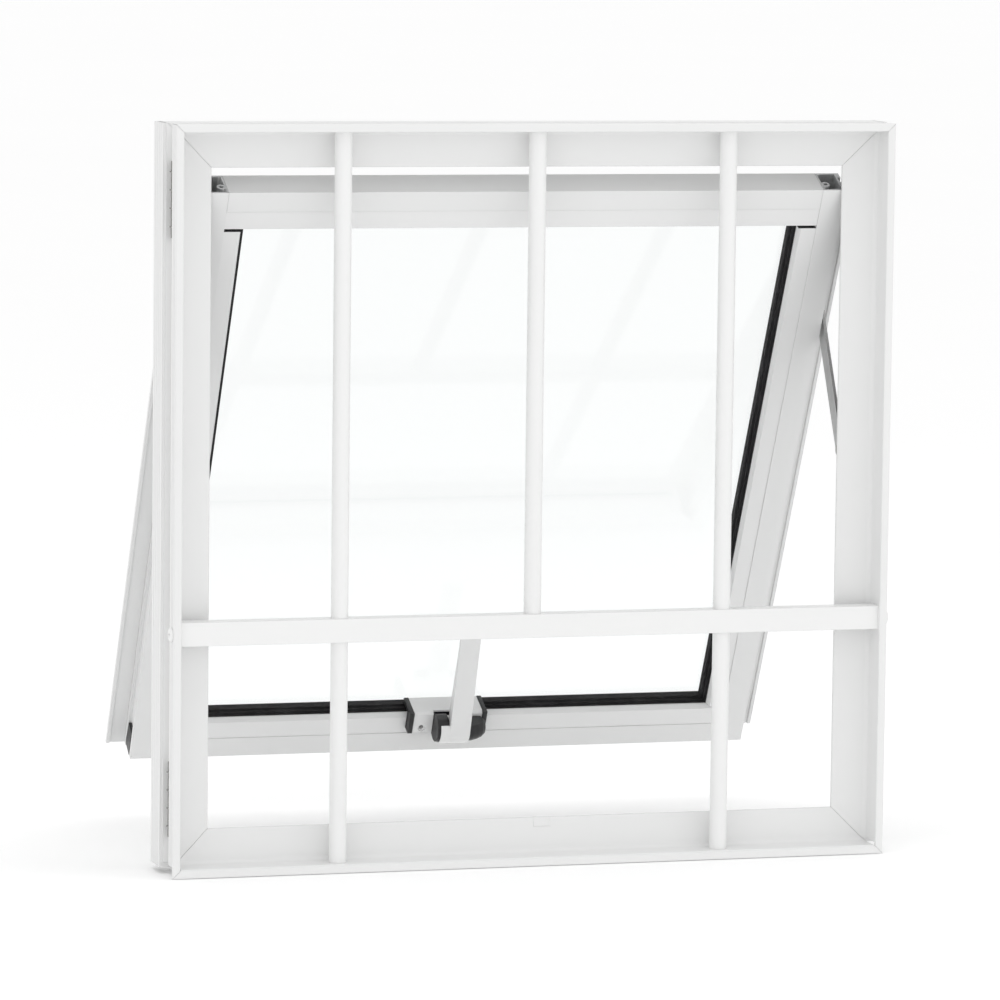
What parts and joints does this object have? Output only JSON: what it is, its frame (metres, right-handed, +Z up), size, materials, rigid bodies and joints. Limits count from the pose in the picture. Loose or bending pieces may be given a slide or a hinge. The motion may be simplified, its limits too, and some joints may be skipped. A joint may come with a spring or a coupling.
{
  "type": "window sash with crank",
  "caption": "Top-hung projecting window: grooved frame with a fixed bar grille, glazed sash that swings out on two sliding side stays, and a lever latch on the bottom rail.",
  "frame": {"origin": "middle of the flat seat under the sill, where the window rests on the wall opening", "axes": "+X to the right seen from the room, +Y outdoors through the wall, +Z up"},
  "size_m": [0.6066, 0.3051, 0.6],
  "materials": {
    "frame_coat": "satin",
    "grille_coat": "satin",
    "sash_coat": "satin",
    "bead_coat": "satin",
    "latch_coat": "gloss",
    "black_rubber": "matte",
    "black_plastic": "satin",
    "dark_steel": "satin",
    "stay_steel": "satin",
    "plated_metal": "matte",
    "glass": "polished"
  },
  "bodies": {
    "frame": {"frame_head": "frame_coat", "frame_sill": "frame_coat", "frame_jamb_left": "frame_coat", "frame_jamb_right": "frame_coat", "frame_corner_cleats": "plated_metal", "jamb_seal_ribs": "frame_coat", "frame_seal_strips": "black_rubber", "wall_anchors": "plated_metal", "grille_bar_left": "grille_coat", "grille_bar_middle": "grille_coat", "grille_bar_right": "grille_coat", "grille_crossbar": "grille_coat", "crossbar_screws": "grille_coat", "latch_keeper": "frame_coat", "stay_track_left": "stay_steel", "stay_track_right": "stay_steel", "track_screws": "stay_steel", "stay_foot_left": "plated_metal", "stay_foot_right": "plated_metal"},
    "stay_arm_right": {"stay_arm_right": "stay_steel"},
    "stay_arm_left": {"stay_arm_left": "stay_steel"},
    "sash": {"stay_link_left": "stay_steel", "stay_link_right": "stay_steel", "stay_link_screws": "stay_steel", "sash_top_rail": "sash_coat", "sash_bottom_rail": "sash_coat", "sash_stile_left": "sash_coat", "sash_stile_right": "sash_coat", "sash_flange_left": "sash_coat", "sash_flange_right": "sash_coat", "sash_corner_blocks": "plated_metal", "stile_end_plugs": "black_plastic", "bead_top": "bead_coat", "bead_bottom": "bead_coat", "bead_left": "bead_coat", "bead_right": "bead_coat", "inner_gasket": "black_rubber", "outer_gasket": "black_rubber", "glass_pane": "glass", "setting_blocks": "black_plastic", "latch_bracket": "latch_coat", "latch_end_caps": "black_plastic", "latch_screw": "dark_steel", "latch_hub": "black_plastic", "latch_pin": "stay_steel"},
    "stay_shoe_left": {"stay_shoe_left": "black_plastic"},
    "stay_shoe_right": {"stay_shoe_right": "black_plastic"},
    "latch_lever": {"latch_lever": "latch_coat"}
  },
  "joints": [
    {"name": "arm_swing_right", "type": "hinge", "parent": "frame", "child": "stay_arm_right", "pos_m": [0.2731, -0.0014, 0.32475], "axis": [1, 0, 0], "range_deg": [-33, 27]},
    {"name": "arm_swing_left", "type": "hinge", "parent": "frame", "child": "stay_arm_left", "pos_m": [-0.2731, -0.0014, 0.32475], "axis": [1, 0, 0], "range_deg": [-33, 27]},
    {"name": "sash_tilt", "type": "hinge", "parent": "stay_arm_right", "child": "sash", "pos_m": [0.2731, 0.05308, 0.43167], "axis": [1, 0, 0], "range_deg": [-54, 66]},
    {"name": "shoe_right", "type": "hinge", "parent": "sash", "child": "stay_shoe_right", "pos_m": [0.27525, -0.0014, 0.53859], "axis": [1, 0, 0], "range_deg": [-33, 27]},
    {"name": "shoe_left", "type": "hinge", "parent": "sash", "child": "stay_shoe_left", "pos_m": [-0.27525, -0.0014, 0.53859], "axis": [1, 0, 0], "range_deg": [-33, 27]},
    {"name": "lever_turn", "type": "hinge", "parent": "sash", "child": "latch_lever", "pos_m": [0.0065, 0.20609, 0.07299], "axis": [1, 0, 0], "range_deg": [0, 80]}
  ],
  "couplings": [
    {"joint": "arm_swing_right", "follows": "sash_tilt", "ratio": -0.5},
    {"joint": "arm_swing_left", "follows": "sash_tilt", "ratio": -0.5},
    {"joint": "shoe_right", "follows": "sash_tilt", "ratio": -0.5},
    {"joint": "shoe_left", "follows": "sash_tilt", "ratio": -0.5}
  ]
}
